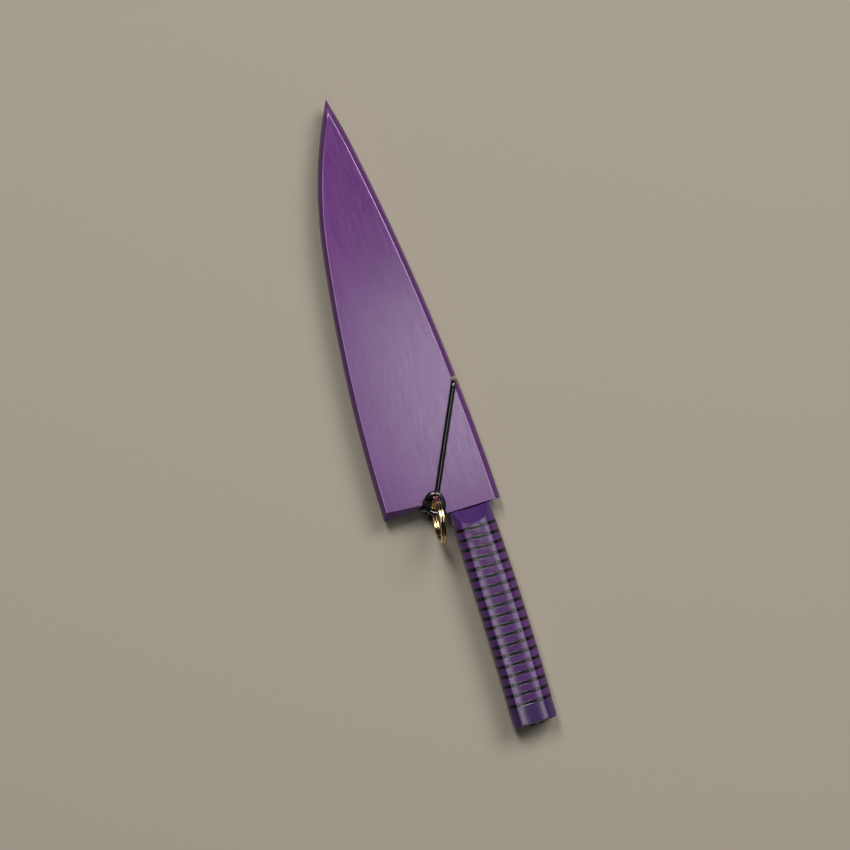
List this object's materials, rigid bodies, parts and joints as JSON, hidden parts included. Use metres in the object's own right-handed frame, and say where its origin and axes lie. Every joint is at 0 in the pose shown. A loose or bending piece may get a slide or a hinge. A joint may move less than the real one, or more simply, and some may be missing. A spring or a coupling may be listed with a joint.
{
  "type": "knife blade guard",
  "caption": "Bevelled wooden blade guard for a chef's knife, held on by a hooked elastic cord with a split ring, with the striped-handle knife that draws out of it.",
  "frame": {"origin": "centre of the guard's mouth, on the knife's axis and in the plane of the blade", "axes": "+Y along the knife's axis to the tip of the guard, +X to the spine side, +Z out of the front face"},
  "size_m": [0.0611, 0.3407, 0.036],
  "materials": {
    "guard_wood": "dyed violet, satin lacquer",
    "guard_core_wood": "dyed dark violet",
    "cord_rubber": "black, glossy",
    "ring_metal": "polished",
    "blade_steel": "brushed",
    "nut_steel": "turned",
    "end_wood": "dyed blue violet, polished",
    "ring_wood": "dyed magenta violet, polished",
    "spacer_fibre": "charcoal fibre"
  },
  "bodies": {
    "guard": {"front_panel": "guard_wood", "back_panel": "guard_wood", "core_spine_rail": "guard_core_wood", "core_edge_rail": "guard_core_wood", "cord_spine_bight": "cord_rubber", "cord_front_strand": "cord_rubber", "cord_back_strand": "cord_rubber"},
    "knife": {"blade": "blade_steel", "front_collar": "end_wood", "purple_ring_01": "ring_wood", "purple_ring_02": "ring_wood", "purple_ring_03": "ring_wood", "purple_ring_04": "ring_wood", "purple_ring_05": "ring_wood", "purple_ring_06": "ring_wood", "purple_ring_07": "ring_wood", "purple_ring_08": "ring_wood", "purple_ring_09": "ring_wood", "purple_ring_10": "ring_wood", "purple_ring_11": "ring_wood", "purple_ring_12": "ring_wood", "purple_ring_13": "ring_wood", "purple_ring_14": "ring_wood", "purple_ring_15": "ring_wood", "purple_ring_16": "ring_wood", "purple_ring_17": "ring_wood", "purple_ring_18": "ring_wood", "black_spacer_01": "spacer_fibre", "black_spacer_02": "spacer_fibre", "black_spacer_03": "spacer_fibre", "black_spacer_04": "spacer_fibre", "black_spacer_05": "spacer_fibre", "black_spacer_06": "spacer_fibre", "black_spacer_07": "spacer_fibre", "black_spacer_08": "spacer_fibre", "black_spacer_09": "spacer_fibre", "black_spacer_10": "spacer_fibre", "black_spacer_11": "spacer_fibre", "black_spacer_12": "spacer_fibre", "black_spacer_13": "spacer_fibre", "black_spacer_14": "spacer_fibre", "black_spacer_15": "spacer_fibre", "black_spacer_16": "spacer_fibre", "black_spacer_17": "spacer_fibre", "black_spacer_18": "spacer_fibre", "black_spacer_19": "spacer_fibre", "end_cap": "end_wood", "pommel_nut": "nut_steel"},
    "retainer": {"cord_hitch": "cord_rubber", "cord_knot": "cord_rubber"},
    "key_ring": {"split_ring": "ring_metal"}
  },
  "joints": [
    {"name": "knife_draw", "type": "slide", "parent": "guard", "child": "knife", "axis": [0, -1, 0], "range_m": [0, 0.235]},
    {"name": "retainer_pull", "type": "slide", "parent": "guard", "child": "retainer", "axis": [-0.4311, -0.9023, 0], "range_m": [0, 0.015], "stiffness_N_per_m": 200, "springref_m": -0.005, "deforming": ["cord_front_strand", "cord_back_strand", "cord_hitch"]},
    {"name": "ring_swing", "type": "hinge", "parent": "retainer", "child": "key_ring", "pos_m": [-0.0167, 0.0084, 0.0085], "axis": [0, 0, 1], "range_deg": [-35, 14]}
  ]
}
